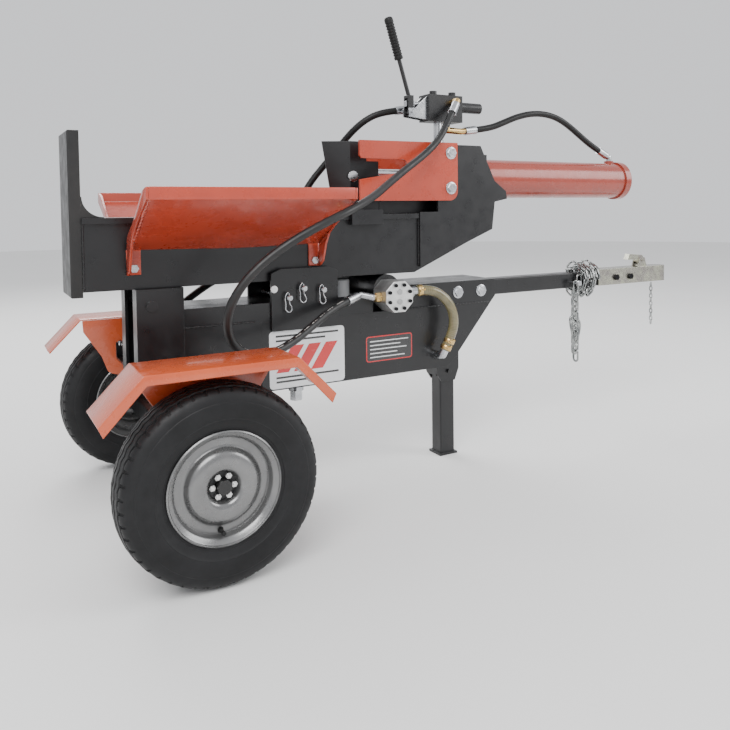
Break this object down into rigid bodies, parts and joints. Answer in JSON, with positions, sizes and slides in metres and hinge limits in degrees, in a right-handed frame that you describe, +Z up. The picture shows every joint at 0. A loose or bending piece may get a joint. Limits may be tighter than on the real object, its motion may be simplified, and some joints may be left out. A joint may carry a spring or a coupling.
{
  "type": "log splitter",
  "caption": "Towable hydraulic log splitter with a steel beam, wedge on a long ram, log cradles, engine-driven pump, oil tank chassis, two wheels, folding stand leg and ball coupler.",
  "frame": {"origin": "on the ground, under the middle of the machine's length and width", "axes": "+X towards the ball coupler, +Z up, +Y towards the engine side"},
  "size_m": [2.029, 0.964, 1.2997],
  "materials": {
    "red_paint": "glossy orange-red enamel",
    "red_fender": "glossy orange-red enamel",
    "black_paint": "satin black enamel",
    "zinc": "yellow zinc plated",
    "polished_steel": "ground and polished",
    "brass": "machined",
    "cast_aluminium": "cast and machined",
    "rim_silver": "silver enamel",
    "hub_steel": "black hub with bright nuts",
    "tyre_rubber": "moulded rubber",
    "hose_rubber": "smooth hydraulic hose",
    "suction_plastic": "clear braided hose, oil filled",
    "grip_rubber": "ribbed grip",
    "black_plastic": "moulded",
    "filter_paint": "light grey enamel",
    "engine_shroud_paint": "satin black",
    "muffler_steel": "heat-stained steel",
    "lever_steel": "black"
  },
  "bodies": {
    "root": {"air_cleaner": "black_plastic", "axle": "black_paint", "beam": "black_paint", "beam_saddle": "black_paint", "chassis_brackets": "black_paint", "coupler": "zinc", "cylinder_barrel": "red_paint", "cylinder_bracket": "black_paint", "cylinder_hose": "hose_rubber", "engine_block": "cast_aluminium", "engine_shroud": "engine_shroud_paint", "fender_far": "red_fender", "fender_near": "red_fender", "foot_plate": "black_paint", "frame_bolts": "zinc", "frame_rails": "black_paint", "fuel_tank": "black_plastic", "hose_ferrules": "zinc", "lever_bracket": "zinc", "log_cradle_far": "red_paint", "log_cradle_near": "red_paint", "muffler": "muffler_steel", "pressure_hose": "hose_rubber", "pump_body": "cast_aluminium", "pump_cover": "cast_aluminium", "pump_mount": "black_paint", "rear_posts": "black_paint", "reservoir": "black_paint", "return_filter": "filter_paint", "return_hose": "hose_rubber", "rod_gland": "polished_steel", "saddle_pins": "zinc", "steel_fittings": "zinc", "stripper_plates": "red_paint", "suction_hose": "suction_plastic", "tongue": "black_paint", "tongue_box": "black_paint", "valve_body": "black_paint", "valve_fittings": "brass"},
    "wheel_near": {"hub_near": "hub_steel", "rim_near": "rim_silver", "tyre_near": "tyre_rubber"},
    "wheel_far": {"hub_far": "hub_steel", "rim_far": "rim_silver", "tyre_far": "tyre_rubber"},
    "ram": {"wedge": "black_paint", "piston_rod": "polished_steel", "wedge_pin": "zinc"},
    "lever": {"valve_lever": "lever_steel", "lever_grip": "grip_rubber"},
    "spool": {"valve_spool": "zinc"},
    "leg": {"stand_leg": "black_paint"},
    "latch": {"coupler_latch": "zinc"},
    "tank_lid": {"filler_cap": "black_plastic"},
    "fuel_lid": {"fuel_cap": "black_plastic"},
    "crank": {"crankshaft": "polished_steel", "pump_drive_gear": "polished_steel"},
    "idler": {"pump_idler_gear": "polished_steel"},
    "chain_near": {"safety_chain_near": "zinc"},
    "chain_far": {"safety_chain_far": "zinc"}
  },
  "joints": [
    {"name": "wheel_near_spin", "type": "hinge", "parent": "root", "child": "wheel_near", "pos_m": [-0.7825, -0.414, 0.203], "axis": [0, 1, 0], "continuous": true},
    {"name": "wheel_far_spin", "type": "hinge", "parent": "root", "child": "wheel_far", "pos_m": [-0.7825, 0.414, 0.203], "axis": [0, 1, 0], "continuous": true},
    {"name": "ram_extend", "type": "slide", "parent": "root", "child": "ram", "axis": [-1, 0, 0], "range_m": [0, 0.61]},
    {"name": "lever_swing", "type": "hinge", "parent": "root", "child": "lever", "pos_m": [-0.0745, 0, 1.028], "axis": [0, 1, 0], "range_deg": [-15, 15], "stiffness_Nm_per_rad": 8},
    {"name": "spool_slide", "type": "slide", "parent": "root", "child": "spool", "axis": [1, 0, 0], "range_m": [-0.0063, 0.0063]},
    {"name": "leg_fold", "type": "hinge", "parent": "root", "child": "leg", "pos_m": [0.0365, 0, 0.255], "axis": [0, -1, 0], "range_deg": [0, 90]},
    {"name": "latch_lift", "type": "hinge", "parent": "root", "child": "latch", "pos_m": [0.8975, 0, 0.5513], "axis": [0, 1, 0], "range_deg": [0, 65]},
    {"name": "tank_lid_turn", "type": "hinge", "parent": "root", "child": "tank_lid", "pos_m": [-0.3265, 0.056, 0.489], "axis": [0, 0, 1], "continuous": true},
    {"name": "fuel_lid_turn", "type": "hinge", "parent": "root", "child": "fuel_lid", "pos_m": [-0.2295, 0.184, 0.729], "axis": [0, 0, 1], "continuous": true},
    {"name": "crank_spin", "type": "hinge", "parent": "root", "child": "crank", "pos_m": [-0.1995, 0, 0.523], "axis": [0, 1, 0], "continuous": true},
    {"name": "idler_spin", "type": "hinge", "parent": "root", "child": "idler", "pos_m": [-0.1995, -0.116, 0.493], "axis": [0, 1, 0], "continuous": true},
    {"name": "chain_near_swing", "type": "hinge", "parent": "root", "child": "chain_near", "pos_m": [0.5425, -0.0455, 0.493], "axis": [0, 1, 0], "range_deg": [-60, 60]},
    {"name": "chain_far_swing", "type": "hinge", "parent": "root", "child": "chain_far", "pos_m": [0.6225, 0.0455, 0.493], "axis": [0, 1, 0], "range_deg": [-60, 60]}
  ],
  "couplings": [
    {"joint": "spool_slide", "follows": "lever_swing", "m_per_rad": 0.024},
    {"joint": "idler_spin", "follows": "crank_spin", "ratio": -1}
  ]
}
